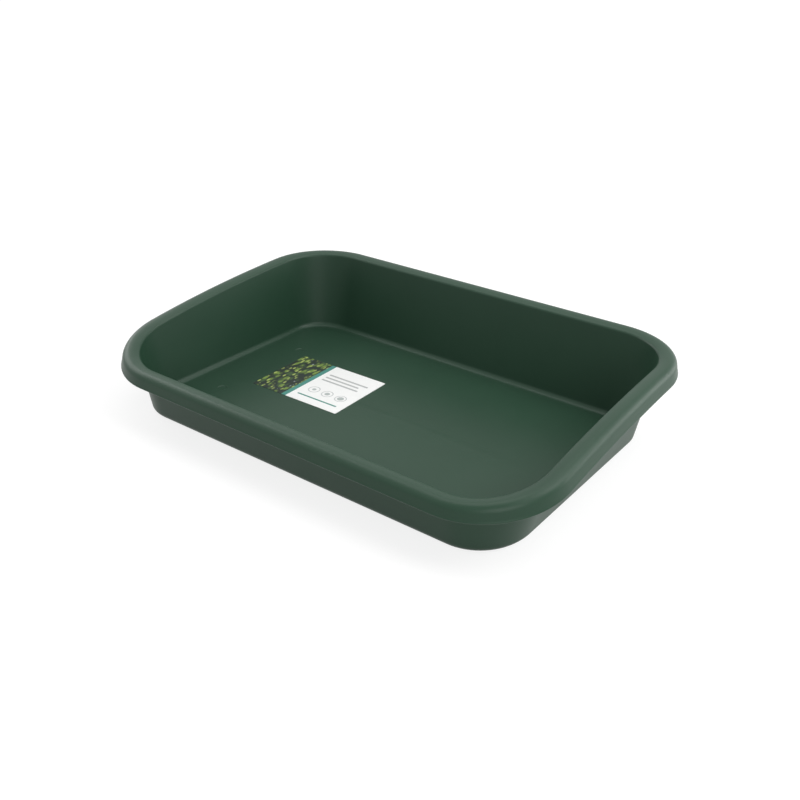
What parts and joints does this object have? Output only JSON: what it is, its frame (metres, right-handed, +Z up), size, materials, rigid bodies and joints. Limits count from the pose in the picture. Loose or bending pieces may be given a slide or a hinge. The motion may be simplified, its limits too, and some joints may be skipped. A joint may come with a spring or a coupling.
{
  "type": "potting soil tray",
  "caption": "Rectangular moulded potting tray with a rolled rim, low along the front and high along the back, with a paper label lying on its floor.",
  "frame": {"origin": "centre of the object's bounding box in plan, on the ground plane the tray stands on", "axes": "+X along the tray's length to its right end, +Y from the low front to the high back, +Z up"},
  "size_m": [0.5602, 0.3898, 0.0998],
  "materials": {
    "tray_plastic": "satin dark green polypropylene",
    "label_paper": null
  },
  "bodies": {
    "root": {"tray_body": "tray_plastic", "product_label": "label_paper"}
  },
  "joints": []
}
